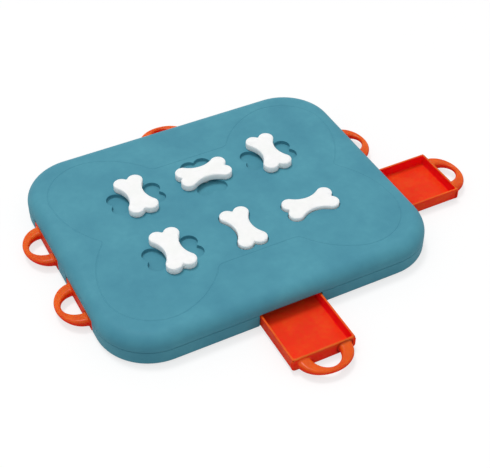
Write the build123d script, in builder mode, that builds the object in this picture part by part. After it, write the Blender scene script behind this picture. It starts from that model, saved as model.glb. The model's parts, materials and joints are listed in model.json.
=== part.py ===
# Dog puzzle feeder: a flat two-part board with six pull-out treat drawers.
# A bone-shaped turn knob stands over the inner end of each drawer. Its cam hangs into
# the board between the two prongs of that drawer's fork. A knob across its drawer wedges the
# prongs; a knob in line with its drawer drops into its recess and lets the drawer go.
# Millimetres, +Z up. The origin is the centre of the board's flat underside.

import os
from math import asin, cos, degrees, radians, sin, sqrt

from build123d import *

os.makedirs("parts", exist_ok=True)

# ---------------------------------------------------------------- driving dimensions

# Board
board_length = 370.0  # along X
board_width = 304.0  # along Y
board_height = 33.0  # underside to top face
corner_radius = 58.0  # corners in plan
top_rounding = 14.5  # soft edge round the top
base_rounding = 3.5  # edge round the underside
seam_height = 16.5  # where the two shells meet
seam_chamfer = 0.5  # each half of the V along the seam
shell_wall = 2.5
floor_thickness = 2.2
lip_thickness = 1.2  # tongue of the lower shell inside the upper one
lip_height = 2.0
lip_fit = 0.2

# Bone outline: four lobes, a waisted shaft and a notch at each end
lobe_along = 21.3  # lobe centre from the middle, along the bone
lobe_across = 8.0  # lobe centre from the long axis
lobe_radius = 8.5
waist_half_width = 9.3
notch_radius = 1.6
bone_thickness = 7.7
bone_edge = 1.4  # rounding of the upper edge

# Recess under each bone
recess_depth = 4.0
recess_margin = 0.9  # room round a bone that lies in its recess
recess_wall = 2.1
recess_floor = 2.5
bone_float = 0.2  # under a bone, at its seat

# Engraved bone line that runs round the whole top: a straight waist, then arcs that run into
# each other: a hollow corner, a shoulder, a lobe, a flank and a hollow notch
line_side_inset = 23.3  # board's side to the lobes
line_end_inset = 18.0  # board's end to the lobes
line_corner_radius = 10.0
line_corner_turn = 56.0  # degrees
line_shoulder_radius = 97.0
line_shoulder_turn = 37.0
line_lobe_radius = 52.6
line_flank_radius = 112.0
line_notch_radius = 5.0
groove_width = 1.4
groove_depth = 0.6

# Drawer
row_spacing = 95.0  # between the two rows of side drawers, centre to centre
drawer_width = 69.0
drawer_length = 95.0  # front face to rear wall
drawer_wall = 2.0
drawer_floor = 1.8
drawer_corner = 2.5  # inside corners in plan
drawer_cove = 1.2  # inside edge round the floor
rim_below_seam = 1.0
panel_side = 5.4  # panel outside each foot of the handle
panel_thickness = 2.5
panel_bottom = 0.5  # above the underside
panel_corner = 4.0  # upper corners of the front panel
panel_foot_corner = 2.0  # its lower corners
slide_gap = 0.3  # running gap under, behind and beside a drawer
front_pull = 65.0  # how far the front drawer stands open
right_pull = 66.0  # how far the right front drawer stands open
back_pull = 3.0  # how far the back drawer stands out, still locked

# Drawer handle: a loop, tall where it leaves the panel and slim at its tip
handle_reach = 24.5  # from the panel to the outside of the loop
handle_width = 60.0
handle_foot_height = 10.6  # inside the panel
handle_tip_height = 4.2
handle_tip_level = 9.0  # middle of the tip above the underside
handle_rounding = 2.0
handle_root = 2.0  # hollow where the loop meets the panel
finger_width = 31.6
finger_reach = 18.4

# Stops and fork on the drawer
drawer_travel = 80.0
stop_length = 5.0
stop_height = 3.2
fork_reach = 17.0
prong_thickness = 2.6
prong_bottom = 5.0
prong_top = 14.0
prong_nose = 1.0

# Guide rails of the lower shell
rail_thickness = 2.0
rail_top = 6.0
rail_length = 96.0

# Knob stem and lock cam
knob_inset = 104.5  # knob axis from the board's edge
stem_radius = 6.0
stem_fit = 0.06
bearing_length = 5.0
bearing_wall = 3.0
drive_width = 6.4  # square end of the stem
drive_length = 9.0
drive_fit = 0.1
cam_gap = 0.3  # between the collar and the bearing
collar_radius = 9.2
collar_thickness = 2.2
cam_thickness = 9.0
cam_length = 15.6
cam_bite_clearance = 0.2  # each side, between a cam turned across and its prongs
cam_bottom = 8.0  # above the underside, with the knob up
cam_screw_radius = 1.25
cam_screw_head_radius = 2.4
cam_screw_head_height = 1.8
cam_screw_sink = 4.0  # from the cam's foot to the screw's seat
cam_screw_bite = 8.0  # length of thread inside the stem

# Shell screws and their bosses
corner_screw = (120.0, 125.0)
middle_screw = (140.0, 0.0)
inner_screw = (55.0, 75.0)
boss_radius = 5.0
screw_radius = 1.75
screw_fit = 0.05
screw_head_radius = 3.4
screw_head_height = 2.2
screw_sink = 6.0  # depth of the head's seat above the underside
screw_head_room = 0.5
screw_bite = 10.0  # length of thread inside the upper boss

# Grip pads
pad_position = (150.0, 98.0)
pad_radius = 11.0
pad_stand = 1.0  # how far a pad stands out below the underside
pad_sink = 1.0
pad_fit = 0.1
pad_edge = 0.5

# ---------------------------------------------------------------- derived sizes

half_length = board_length / 2
half_width = board_width / 2
rim_height = seam_height - rim_below_seam
panel_width = handle_width + 2 * panel_side
handle_foot_level = (rim_height + panel_bottom) / 2
tray_bottom = floor_thickness + slide_gap
lower_wall = shell_wall + lip_fit + lip_thickness
recess_level = board_height - recess_depth
pocket_bottom = recess_level - recess_floor
bearing_bottom = recess_level - bearing_length
prong_gap = cam_length + 2 * cam_bite_clearance
stop_position = drawer_travel + shell_wall + slide_gap
tray_floor_level = tray_bottom + drawer_floor

# Engraved line: where its waist starts and ends, so that its lobes keep their insets
shoulder_start = radians(line_corner_turn)
shoulder_end = radians(line_corner_turn - line_shoulder_turn)
line_lobe_turn = 90 + line_corner_turn - line_shoulder_turn
line_rise = (
    line_corner_radius * (1 - cos(shoulder_start))
    + line_shoulder_radius * (cos(shoulder_end) - cos(shoulder_start))
    + line_lobe_radius * (1 - cos(shoulder_end))
)
line_run = (
    line_corner_radius * sin(shoulder_start)
    + line_shoulder_radius * (sin(shoulder_start) - sin(shoulder_end))
    + line_lobe_radius * (1 + sin(shoulder_end))
)
line_waist = half_width - line_side_inset - line_rise
line_shaft = half_length - line_end_inset - line_run
line_lobe_level = half_width - line_side_inset - line_lobe_radius
line_flank_turn = degrees(asin(line_lobe_level / (line_flank_radius + line_notch_radius)))

up_seat = board_height + bone_float  # underside of a bone that lies across
down_seat = recess_level + bone_float  # underside of a bone in its recess
collar_depth = up_seat + cam_gap - bearing_bottom  # seat to the top of the cam's collar
cam_depth = up_seat - cam_bottom  # seat to the cam's foot
screw_seat_depth = cam_depth - cam_screw_sink


class Bay:
    # One drawer place: where its mouth is, which way leads inwards, how far it stands open
    # and whether its bone lies in line with the drawer.

    def __init__(self, name, mouth, inward, pulled=0.0, aligned=False):
        self.name = name
        self.mouth = Vector(*mouth)
        self.inward = Vector(*inward)
        self.pulled = pulled
        self.aligned = aligned

    def frame(self, pulled=0.0):
        # X leads inwards from the mouth, Y across the drawer, Z up.
        return Plane(self.mouth - self.inward * pulled, x_dir=self.inward, z_dir=(0, 0, 1))

    def knob_frame(self):
        # X runs along the bone. The plane lies at the bone's underside.
        axis = self.mouth + self.inward * knob_inset
        across = Vector(-self.inward.Y, self.inward.X, 0)
        seat = down_seat if self.aligned else up_seat
        along = self.inward if self.aligned else across
        return Plane(axis + Vector(0, 0, seat), x_dir=along, z_dir=(0, 0, 1))


row = row_spacing / 2
bays = [
    Bay("left_front", (-half_length, -row, 0), (1, 0, 0)),
    Bay("left_back", (-half_length, row, 0), (1, 0, 0)),
    Bay("right_front", (half_length, -row, 0), (-1, 0, 0), pulled=right_pull, aligned=True),
    Bay("right_back", (half_length, row, 0), (-1, 0, 0)),
    Bay("front", (0, -half_width, 0), (0, 1, 0), pulled=front_pull, aligned=True),
    Bay("back", (0, half_width, 0), (0, -1, 0), pulled=back_pull),
]

screw_places = [
    (side * x, end * y)
    for x, y in (corner_screw, inner_screw)
    for side in (-1, 1)
    for end in (-1, 1)
] + [(-middle_screw[0], middle_screw[1]), middle_screw]
pad_places = [(side * pad_position[0], end * pad_position[1]) for side in (-1, 1) for end in (-1, 1)]


def save(part, name):
    part.label = name
    export_step(part, f"parts/{name}.step")
    print(f"{name:26s} {part.volume / 1000:9.2f} cm3")


# ---------------------------------------------------------------- bone outline


def bone_outline(along, across, radius, waist, notch):
    # All arcs run into each other. The shaft's side is a hollow arc through the waist, and a
    # hollow arc joins the two lobes of an end.
    side_radius = (along**2 + (waist - across) ** 2 - radius**2) / (2 * (radius - waist + across))
    side_centre = waist + side_radius
    reach = side_radius + radius
    side_end = Vector(along - along * radius / reach, across + (side_centre - across) * radius / reach)
    side_turn = sqrt(side_radius**2 - (side_end.X / 2) ** 2)
    side_middle = Vector(side_end.X / 2, side_centre - side_turn)

    notch_centre = along + sqrt((radius + notch) ** 2 - across**2)
    share = radius / (radius + notch)
    notch_start = Vector(along + (notch_centre - along) * share, across * (1 - share))
    notch_rise = notch_start.Y / 2
    notch_middle = Vector(notch_centre - sqrt(notch**2 - notch_rise**2), notch_rise)

    with BuildSketch() as outline:
        with BuildLine():
            ThreePointArc((0, waist), side_middle, side_end)
            outer = Vector(along + radius * cos(radians(55)), across + radius * sin(radians(55)))
            ThreePointArc(side_end, outer, notch_start)
            ThreePointArc(notch_start, notch_middle, (notch_centre - notch, 0))
            mirror(about=Plane.XZ)
            mirror(about=Plane.YZ)
        make_face()
    return outline.sketch


def knob_outline(grow=0.0):
    hollow = max(notch_radius - grow, notch_radius / 2)
    return bone_outline(lobe_along, lobe_across, lobe_radius + grow, waist_half_width + grow, hollow)


def line_outline(grow=0.0):
    with BuildSketch() as outline:
        with BuildLine():
            waist = Line((0, line_waist + grow), (line_shaft, line_waist + grow))
            corner = JernArc(waist @ 1, waist % 1, line_corner_radius - grow, line_corner_turn)
            shoulder = JernArc(corner @ 1, corner % 1, line_shoulder_radius + grow, -line_shoulder_turn)
            lobe = JernArc(shoulder @ 1, shoulder % 1, line_lobe_radius + grow, -line_lobe_turn)
            flank = JernArc(lobe @ 1, lobe % 1, line_flank_radius + grow, -line_flank_turn)
            JernArc(flank @ 1, flank % 1, line_notch_radius - grow, line_flank_turn)
            mirror(about=Plane.XZ)
            mirror(about=Plane.YZ)
        make_face()
    return outline.sketch


# ---------------------------------------------------------------- upper shell

with BuildPart() as top_shell:
    with BuildSketch(Plane.XY.offset(seam_height)):
        RectangleRounded(board_length, board_width, corner_radius)
    extrude(amount=board_height - seam_height)
    fillet(top_shell.faces().sort_by(Axis.Z)[-1].edges(), top_rounding)
    offset(amount=-shell_wall, openings=top_shell.faces().sort_by(Axis.Z)[0])
    chamfer(top_shell.faces().sort_by(Axis.Z)[0].outer_wire().edges(), seam_chamfer)

    # Pocket and bearing under each bone
    pocket_rise = board_height - shell_wall / 2 - pocket_bottom
    bearing_rise = recess_level - recess_floor / 2 - bearing_bottom
    for bay in bays:
        aligned_plane = Plane(
            bay.mouth + bay.inward * knob_inset, x_dir=bay.inward, z_dir=(0, 0, 1)
        )
        with BuildSketch(aligned_plane.offset(pocket_bottom)):
            add(knob_outline(recess_margin + recess_wall))
        extrude(amount=pocket_rise)
        with BuildSketch(aligned_plane.offset(bearing_bottom)):
            Circle(stem_radius + bearing_wall)
        extrude(amount=bearing_rise)
        with BuildSketch(aligned_plane.offset(board_height)):
            add(knob_outline(recess_margin))
        extrude(amount=-recess_depth, mode=Mode.SUBTRACT)
        with BuildSketch(aligned_plane.offset(board_height)):
            Circle(stem_radius + stem_fit)
        extrude(amount=bearing_bottom - board_height, mode=Mode.SUBTRACT)

    # Screw bosses
    with BuildSketch(Plane.XY.offset(seam_height)):
        with Locations(*screw_places):
            Circle(boss_radius)
    extrude(amount=board_height - shell_wall / 2 - seam_height)
    with BuildSketch(Plane.XY.offset(seam_height)):
        with Locations(*screw_places):
            Circle(screw_radius + screw_fit)
    extrude(amount=screw_bite + screw_head_room, mode=Mode.SUBTRACT)

    # Engraved line
    with BuildSketch(Plane.XY.offset(board_height)):
        add(line_outline(groove_width / 2))
        add(line_outline(-groove_width / 2), mode=Mode.SUBTRACT)
    extrude(amount=-groove_depth, mode=Mode.SUBTRACT)
save(top_shell.part, "top_shell")

# ---------------------------------------------------------------- lower shell

with BuildPart() as bottom_shell:
    with BuildSketch():
        RectangleRounded(board_length, board_width, corner_radius)
    extrude(amount=seam_height)
    fillet(bottom_shell.faces().sort_by(Axis.Z)[0].edges(), base_rounding)
    chamfer(bottom_shell.faces().sort_by(Axis.Z)[-1].edges(), seam_chamfer)
    lip_inset = shell_wall + lip_fit
    with BuildSketch(Plane.XY.offset(seam_height)):
        RectangleRounded(
            board_length - 2 * lip_inset, board_width - 2 * lip_inset, corner_radius - lip_inset
        )
    extrude(amount=lip_height)
    with BuildSketch(Plane.XY.offset(floor_thickness)):
        RectangleRounded(
            board_length - 2 * lower_wall, board_width - 2 * lower_wall, corner_radius - lower_wall
        )
    extrude(amount=seam_height + lip_height - floor_thickness, mode=Mode.SUBTRACT)

    # Drawer mouths and guide rails
    mouth_width = panel_width + 2 * slide_gap
    rail_start = panel_thickness + slide_gap
    rail_offset = drawer_width / 2 + slide_gap + rail_thickness / 2
    for bay in bays:
        frame = bay.frame()
        with BuildSketch(frame):
            with Locations((lower_wall / 2, 0)):
                Rectangle(lower_wall, mouth_width)
        extrude(amount=seam_height + lip_height, mode=Mode.SUBTRACT)
        with BuildSketch(frame):
            with Locations((rail_start + lower_wall / 2, 0)):
                Rectangle(lower_wall, mouth_width + 2 * rail_thickness)
        extrude(amount=floor_thickness)
        with BuildSketch(frame):
            with Locations((rail_start, -rail_offset), (rail_start, rail_offset)):
                Rectangle(rail_length, rail_thickness, align=(Align.MIN, Align.CENTER))
        extrude(amount=rail_top)

    # Screw bosses, each with a sunk seat for the head
    with BuildSketch():
        with Locations(*screw_places):
            Circle(boss_radius)
    extrude(amount=seam_height)
    with BuildSketch():
        with Locations(*screw_places):
            Circle(screw_radius + screw_fit)
    extrude(amount=seam_height, mode=Mode.SUBTRACT)
    with BuildSketch():
        with Locations(*screw_places):
            Circle(screw_head_radius + screw_fit)
    extrude(amount=screw_sink, mode=Mode.SUBTRACT)

    # Pockets for the grip pads
    with BuildSketch():
        with Locations(*pad_places):
            Circle(pad_radius + pad_fit)
    extrude(amount=pad_sink, mode=Mode.SUBTRACT)
save(bottom_shell.part, "bottom_shell")

# ---------------------------------------------------------------- shell screws

with BuildPart() as shell_screws:
    head_bottom = screw_sink - screw_head_height
    with BuildSketch(Plane.XY.offset(head_bottom)):
        with Locations(*screw_places):
            Circle(screw_head_radius)
    extrude(amount=screw_head_height)
    chamfer(shell_screws.edges().group_by(Axis.Z)[0], screw_head_height / 4)
    with BuildSketch(Plane.XY.offset(screw_sink)):
        with Locations(*screw_places):
            Circle(screw_radius)
    extrude(amount=seam_height + screw_bite - screw_sink)
    chamfer(shell_screws.edges().group_by(Axis.Z)[-1], screw_radius / 2)
save(shell_screws.part, "shell_screws")

# ---------------------------------------------------------------- grip pads

with BuildPart() as grip_pads:
    with BuildSketch(Plane.XY.offset(-pad_stand)):
        with Locations(*pad_places):
            Circle(pad_radius)
    extrude(amount=pad_stand + pad_sink)
    chamfer(grip_pads.edges().group_by(Axis.Z)[0], pad_edge)
save(grip_pads.part, "grip_pads")

# ---------------------------------------------------------------- drawers


def handle_outline():
    # Half a loop, open towards the panel, with two short feet that end inside the panel.
    foot_width = (handle_width - finger_width) / 2
    foot_place = (handle_width + finger_width) / 4
    with BuildSketch() as outline:
        Ellipse(handle_reach, handle_width / 2)
        Ellipse(finger_reach, finger_width / 2, mode=Mode.SUBTRACT)
        Rectangle(handle_reach, handle_width, align=(Align.MIN, Align.CENTER), mode=Mode.SUBTRACT)
        with Locations((0, -foot_place), (0, foot_place)):
            Rectangle(panel_thickness / 2, foot_width, align=(Align.MIN, Align.CENTER))
    return outline.sketch


def handle_profile():
    # The loop seen from its side, X inwards and Y up: it tapers from the panel to the tip.
    foot_bottom = handle_foot_level - handle_foot_height / 2
    tip_bottom = handle_tip_level - handle_tip_height / 2
    with BuildSketch() as profile:
        with BuildLine():
            Polyline(
                (panel_thickness, foot_bottom),
                (-handle_reach, tip_bottom),
                (-handle_reach, tip_bottom + handle_tip_height),
                (panel_thickness, foot_bottom + handle_foot_height),
                close=True,
            )
        make_face()
    return profile.sketch


def make_drawer(frame):
    # The frame's X leads inwards from the front face, Y across the drawer.
    inward = Axis(frame.origin, frame.x_dir)
    front = Plane(frame.origin, x_dir=frame.y_dir, z_dir=frame.x_dir)
    side = Plane(frame.origin, x_dir=frame.x_dir, z_dir=-frame.y_dir)
    inside_length = drawer_length - panel_thickness - drawer_wall
    inside_width = drawer_width - 2 * drawer_wall
    tab_place = (drawer_width - drawer_wall) / 2
    prong_place = (prong_gap + prong_thickness) / 2

    def on_loop(edge):
        return frame.to_local_coords(edge.center()).X < -panel_thickness / 10

    def is_slope(face):
        return abs(face.normal_at().Z) > 0.5

    with BuildPart() as drawer:
        # Handle and front panel, with a hollow where the loop grows out of the panel
        with BuildSketch(side):
            add(handle_profile())
        extrude(amount=handle_width / 2, both=True)
        with BuildSketch(frame):
            add(handle_outline())
        extrude(amount=rim_height, mode=Mode.INTERSECT)
        slopes = drawer.faces().filter_by(is_slope)
        fillet(slopes.edges().filter_by(on_loop), handle_rounding)
        with BuildSketch(front) as panel:
            with Locations((0, panel_bottom)):
                Rectangle(panel_width, rim_height - panel_bottom, align=(Align.CENTER, Align.MIN))
            fillet(panel.vertices().group_by(Axis.Y)[-1], panel_corner)
            fillet(panel.vertices().group_by(Axis.Y)[0], panel_foot_corner)
        extrude(amount=panel_thickness)
        front_face = drawer.faces().filter_by(inward).sort_by(inward)[0]
        fillet(front_face.inner_wires().edges(), handle_root)

        # Tray, hollowed from its rim, with a cove round the floor
        with BuildSketch(frame.offset(tray_bottom)):
            Rectangle(drawer_length, drawer_width, align=(Align.MIN, Align.CENTER))
        extrude(amount=rim_height - tray_bottom)
        with BuildSketch(frame.offset(rim_height)):
            with Locations((panel_thickness + inside_length / 2, 0)):
                RectangleRounded(inside_length, inside_width, drawer_corner)
        extrude(amount=tray_floor_level - rim_height, mode=Mode.SUBTRACT)
        level_faces = drawer.faces().filter_by(Axis.Z)
        inner_floor = level_faces.filter_by_position(
            Axis.Z, tray_floor_level - slide_gap, tray_floor_level + slide_gap
        )
        fillet(inner_floor.edges(), drawer_cove)

        # Stop tabs on the side walls
        with BuildSketch(frame.offset(rim_height)):
            with Locations((stop_position, -tab_place), (stop_position, tab_place)):
                Rectangle(stop_length, drawer_wall, align=(Align.MIN, Align.CENTER))
        extrude(amount=stop_height)

        # Fork behind the rear wall
        with BuildSketch(frame.offset(prong_bottom)) as fork:
            with Locations((drawer_length, -prong_place), (drawer_length, prong_place)):
                Rectangle(fork_reach, prong_thickness, align=(Align.MIN, Align.CENTER))
            fillet(fork.vertices().group_by(Axis.X)[-1], prong_nose)
        extrude(amount=prong_top - prong_bottom)
    return drawer.part


for bay in bays:
    save(make_drawer(bay.frame(bay.pulled)), f"drawer_{bay.name}")

# ---------------------------------------------------------------- bone knobs, cams and their screws


def make_knob(seat):
    # The seat plane lies at the bone's underside, with its X along the bone.
    with BuildPart() as knob:
        with BuildSketch(seat):
            add(knob_outline())
        extrude(amount=bone_thickness)
        fillet(knob.faces().sort_by(Axis.Z)[-1].edges(), bone_edge)

        # Round stem through the bearing, square end in the cam, blind hole for the cam's screw
        with BuildSketch(seat):
            Circle(stem_radius)
        extrude(amount=-collar_depth)
        with BuildSketch(seat.offset(-collar_depth)):
            Rectangle(drive_width, drive_width)
        extrude(amount=-drive_length)
        with BuildSketch(seat.offset(-collar_depth - drive_length)):
            Circle(cam_screw_radius + screw_fit)
        extrude(amount=cam_screw_bite + screw_head_room, mode=Mode.SUBTRACT)
    return knob.part


def make_cam(seat):
    # A collar that keeps the knob captive, over a cam whose long section lies along the bone.
    with BuildPart() as cam:
        with BuildSketch(seat.offset(-collar_depth)):
            Circle(collar_radius)
        extrude(amount=-collar_thickness)
        with BuildSketch(seat.offset(-cam_depth)):
            SlotOverall(cam_length, cam_thickness)
        extrude(amount=cam_depth - collar_depth)
        with BuildSketch(seat.offset(-collar_depth)):
            Rectangle(drive_width + 2 * drive_fit, drive_width + 2 * drive_fit)
        extrude(amount=-drive_length - cam_gap, mode=Mode.SUBTRACT)
        with BuildSketch(seat.offset(-cam_depth)):
            Circle(cam_screw_radius + screw_fit)
        extrude(amount=cam_depth - collar_depth, mode=Mode.SUBTRACT)
        with BuildSketch(seat.offset(-cam_depth)):
            Circle(cam_screw_head_radius + screw_fit)
        extrude(amount=cam_screw_sink, mode=Mode.SUBTRACT)
    return cam.part


def make_cam_screw(seat):
    thread_top = collar_depth + drive_length - cam_screw_bite
    with BuildPart() as screw:
        with BuildSketch(seat.offset(-screw_seat_depth)):
            Circle(cam_screw_head_radius)
        extrude(amount=-cam_screw_head_height)
        chamfer(screw.edges().group_by(Axis.Z)[0], cam_screw_head_height / 3)
        with BuildSketch(seat.offset(-screw_seat_depth)):
            Circle(cam_screw_radius)
        extrude(amount=screw_seat_depth - thread_top)
        chamfer(screw.edges().group_by(Axis.Z)[-1], cam_screw_radius / 2)
    return screw.part


for bay in bays:
    seat = bay.knob_frame()
    save(make_knob(seat), f"bone_{bay.name}")
    save(make_cam(seat), f"lock_cam_{bay.name}")
    save(make_cam_screw(seat), f"cam_screw_{bay.name}")
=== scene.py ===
import json
import math

import bmesh
import bpy
from mathutils import Matrix, Vector
from mathutils.geometry import delaunay_2d_cdt

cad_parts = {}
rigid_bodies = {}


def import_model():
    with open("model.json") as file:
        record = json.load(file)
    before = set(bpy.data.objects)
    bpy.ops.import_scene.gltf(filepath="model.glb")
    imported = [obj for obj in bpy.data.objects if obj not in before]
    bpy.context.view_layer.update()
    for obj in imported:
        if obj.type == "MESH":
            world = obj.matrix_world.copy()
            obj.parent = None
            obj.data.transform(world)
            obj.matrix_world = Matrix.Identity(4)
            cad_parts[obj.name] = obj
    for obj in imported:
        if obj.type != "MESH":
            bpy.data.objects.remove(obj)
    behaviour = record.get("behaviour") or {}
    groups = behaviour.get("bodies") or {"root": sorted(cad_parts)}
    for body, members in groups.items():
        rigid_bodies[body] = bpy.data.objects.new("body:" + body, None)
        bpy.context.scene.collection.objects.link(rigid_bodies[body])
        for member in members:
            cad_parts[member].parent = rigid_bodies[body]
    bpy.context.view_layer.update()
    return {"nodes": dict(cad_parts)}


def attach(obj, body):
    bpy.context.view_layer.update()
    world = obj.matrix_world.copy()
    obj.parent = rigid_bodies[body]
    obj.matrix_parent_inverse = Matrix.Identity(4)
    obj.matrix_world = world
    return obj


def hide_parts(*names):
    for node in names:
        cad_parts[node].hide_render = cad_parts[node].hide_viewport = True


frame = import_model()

# Dog puzzle feeder: a teal two-part board, six pull-out drawers and six bone knobs.
# Sizes below are in millimetres; a mesh is turned into metres when it is made.

mm = 0.001
mergeReach = 1e-7

# Clears whatever a new file starts with
for extra in list(bpy.data.objects):
    if extra.name not in frame["nodes"] and not extra.name.startswith("body:"):
        bpy.data.objects.remove(extra)


class Surface:
    # Collects closed loops of points and joins them with bands, flat regions and caps.

    def __init__(self):
        self.points = []
        self.faces = []

    def ring(self, points):
        start = len(self.points)
        self.points += [tuple(p) for p in points]
        return list(range(start, len(self.points)))

    def loop(self, flat, level):
        return self.ring([(x, y, level) for x, y in flat])

    def band(self, first, second):
        for i in range(len(first)):
            j = (i + 1) % len(first)
            self.faces.append((first[i], first[j], second[j], second[i]))

    def bands(self, loops):
        for first, second in zip(loops, loops[1:]):
            self.band(first, second)

    def region(self, outer, holes=()):
        # Fills the flat area between an outer loop and its holes.
        ids, rims = [], []
        for line in [outer, *holes]:
            rims.append(list(range(len(ids), len(ids) + len(line))))
            ids += line
        flat = [Vector(self.points[i][:2]) for i in ids]
        _, _, faces, origin, _, _ = delaunay_2d_cdt(flat, [], rims, 2, mergeReach)
        back = [ids[o[0]] for o in origin]
        self.faces += [tuple(back[i] for i in face) for face in faces]

    def cap(self, line):
        self.faces.append(tuple(line))

    def mesh(self, name, place=None):
        made = bpy.data.meshes.new(name)
        made.from_pydata([Vector(p) * mm for p in self.points], [], self.faces)
        edit = bmesh.new()
        edit.from_mesh(made)
        bmesh.ops.remove_doubles(edit, verts=edit.verts, dist=mergeReach)
        bmesh.ops.recalc_face_normals(edit, faces=edit.faces)
        edit.to_mesh(made)
        edit.free()
        if place is not None:
            made.transform(place)
        return made


def addObject(name, data):
    made = bpy.data.objects.new(name, data)
    bpy.context.scene.collection.objects.link(made)
    return made


def settle(thing):
    # Turns what the modifiers make into the object's own plain mesh.
    bpy.context.view_layer.update()
    graph = bpy.context.evaluated_depsgraph_get()
    result = bpy.data.meshes.new_from_object(thing.evaluated_get(graph))
    thing.modifiers.clear()
    old = thing.data
    thing.data = result
    result.name = thing.name
    if old.users == 0:
        bpy.data.meshes.remove(old)
    return thing


crease = 40  # degrees, past which an edge of a large piece stays crisp
smallCrease = 35


def smooth(thing, angle):
    # Smooth shading with crisp edges past the angle, where large faces decide the normals.
    edit = bmesh.new()
    edit.from_mesh(thing.data)
    for face in edit.faces:
        face.smooth = True
    for edge in edit.edges:
        edge.smooth = len(edge.link_faces) == 2 and edge.calc_face_angle(0) < math.radians(angle)
    edit.to_mesh(thing.data)
    edit.free()
    weigh = thing.modifiers.new("weigh", "WEIGHTED_NORMAL")
    weigh.keep_sharp = True
    weigh.weight = 90  # how far large faces lead, 50 being even
    return settle(thing)


def combine(thing, tool, how):
    # Joins or cuts with a tool, which is used up.
    step = thing.modifiers.new("combine", "BOOLEAN")
    step.object = tool
    step.operation = how
    step.solver = "MANIFOLD"
    settle(thing)
    bpy.data.objects.remove(tool)
    return thing


def soften(thing, width, segments, angle):
    # Rounds every edge that is sharper than the angle.
    step = thing.modifiers.new("soften", "BEVEL")
    step.width = width * mm
    step.segments = segments
    step.limit_method = "ANGLE"
    step.angle_limit = math.radians(angle)
    return settle(thing)


def roundedBox(halfX, halfY, radius, perCorner, perSide):
    # A rectangle with round corners, and points along its sides so that loops match up.
    line = []
    corners = [(1, 1, 0), (-1, 1, 90), (-1, -1, 180), (1, -1, 270)]
    for index, (sx, sy, start) in enumerate(corners):
        cx, cy = sx * (halfX - radius), sy * (halfY - radius)
        for k in range(perCorner + 1):
            a = math.radians(start + 90 * k / perCorner)
            line.append((cx + radius * math.cos(a), cy + radius * math.sin(a)))
        nx, ny, nextStart = corners[(index + 1) % 4]
        a = math.radians(nextStart)
        tx = nx * (halfX - radius) + radius * math.cos(a)
        ty = ny * (halfY - radius) + radius * math.sin(a)
        x, y = line[-1]
        line += [(x + (tx - x) * k / perSide, y + (ty - y) * k / perSide) for k in range(1, perSide)]
    return line


def circle(x, y, radius, count=48):
    turns = [2 * math.pi * k / count for k in range(count)]
    return [(x + radius * math.cos(a), y + radius * math.sin(a)) for a in turns]


def quarterTurn(line):
    # A quarter outline, from the Y axis to the X axis, mirrored into a closed one.
    left = [(-x, y) for x, y in reversed(line[1:])]
    upper = left + line
    return upper + [(x, -y) for x, y in reversed(upper[1:-1])]


def arcPoints(cx, cy, radius, start, end, count):
    turns = [math.radians(start + (end - start) * k / count) for k in range(count + 1)]
    return [(cx + radius * math.cos(a), cy + radius * math.sin(a)) for a in turns]


def roundOver(radius, steps):
    # Inset and rise along a quarter round, from the side to the top.
    turns = [math.pi / 2 * k / steps for k in range(steps + 1)]
    return [(radius * (1 - math.cos(a)), radius * math.sin(a)) for a in turns]


def coveIn(radius, steps):
    # Inset and rise along a hollow quarter, from the floor to the wall.
    rises = [rise for _, rise in roundOver(radius, steps)]
    return [(radius - rise, radius - math.sqrt(max(radius**2 - rise**2, 0))) for rise in rises]


boneShape = {"lobeAlong": 21.3, "lobeAcross": 8.0, "lobeRadius": 8.5, "waist": 9.3, "notch": 1.6,
             "sideSteps": 12, "lobeSteps": 26, "notchSteps": 6}


def boneOutline(grow):
    # A knob's outline, lengthwise along X. A hollow side, a lobe and a notch run into each other.
    b = boneShape
    along, across = b["lobeAlong"], b["lobeAcross"]
    radius, waist = b["lobeRadius"] + grow, b["waist"] + grow
    notch = max(b["notch"] - grow, b["notch"] / 2)
    sideRadius = (along**2 + (waist - across) ** 2 - radius**2) / (2 * (radius - waist + across))
    sideCentre = waist + sideRadius
    meet = math.degrees(math.atan2(sideCentre - across, along))
    line = arcPoints(0, sideCentre, sideRadius, 270, 360 - meet, b["sideSteps"])
    notchCentre = along + math.sqrt((radius + notch) ** 2 - across**2)
    lobeEnd = math.degrees(math.atan2(-across, notchCentre - along))
    line += arcPoints(along, across, radius, 180 - meet, lobeEnd, b["lobeSteps"])[1:]
    line += arcPoints(notchCentre, 0, notch, 180 + lobeEnd, 180, b["notchSteps"])[1:]
    return quarterTurn(line)


lineShape = {"sideInset": 23.3, "endInset": 18.0, "corner": 10.0, "cornerTurn": 56.0, "shoulder": 97.0,
             "shoulderTurn": 37.0, "lobe": 52.6, "flank": 112.0, "notch": 5.0, "straightSteps": 3,
             "cornerSteps": 6, "shoulderSteps": 8, "lobeSteps": 24, "flankSteps": 8, "notchSteps": 6}


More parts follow.
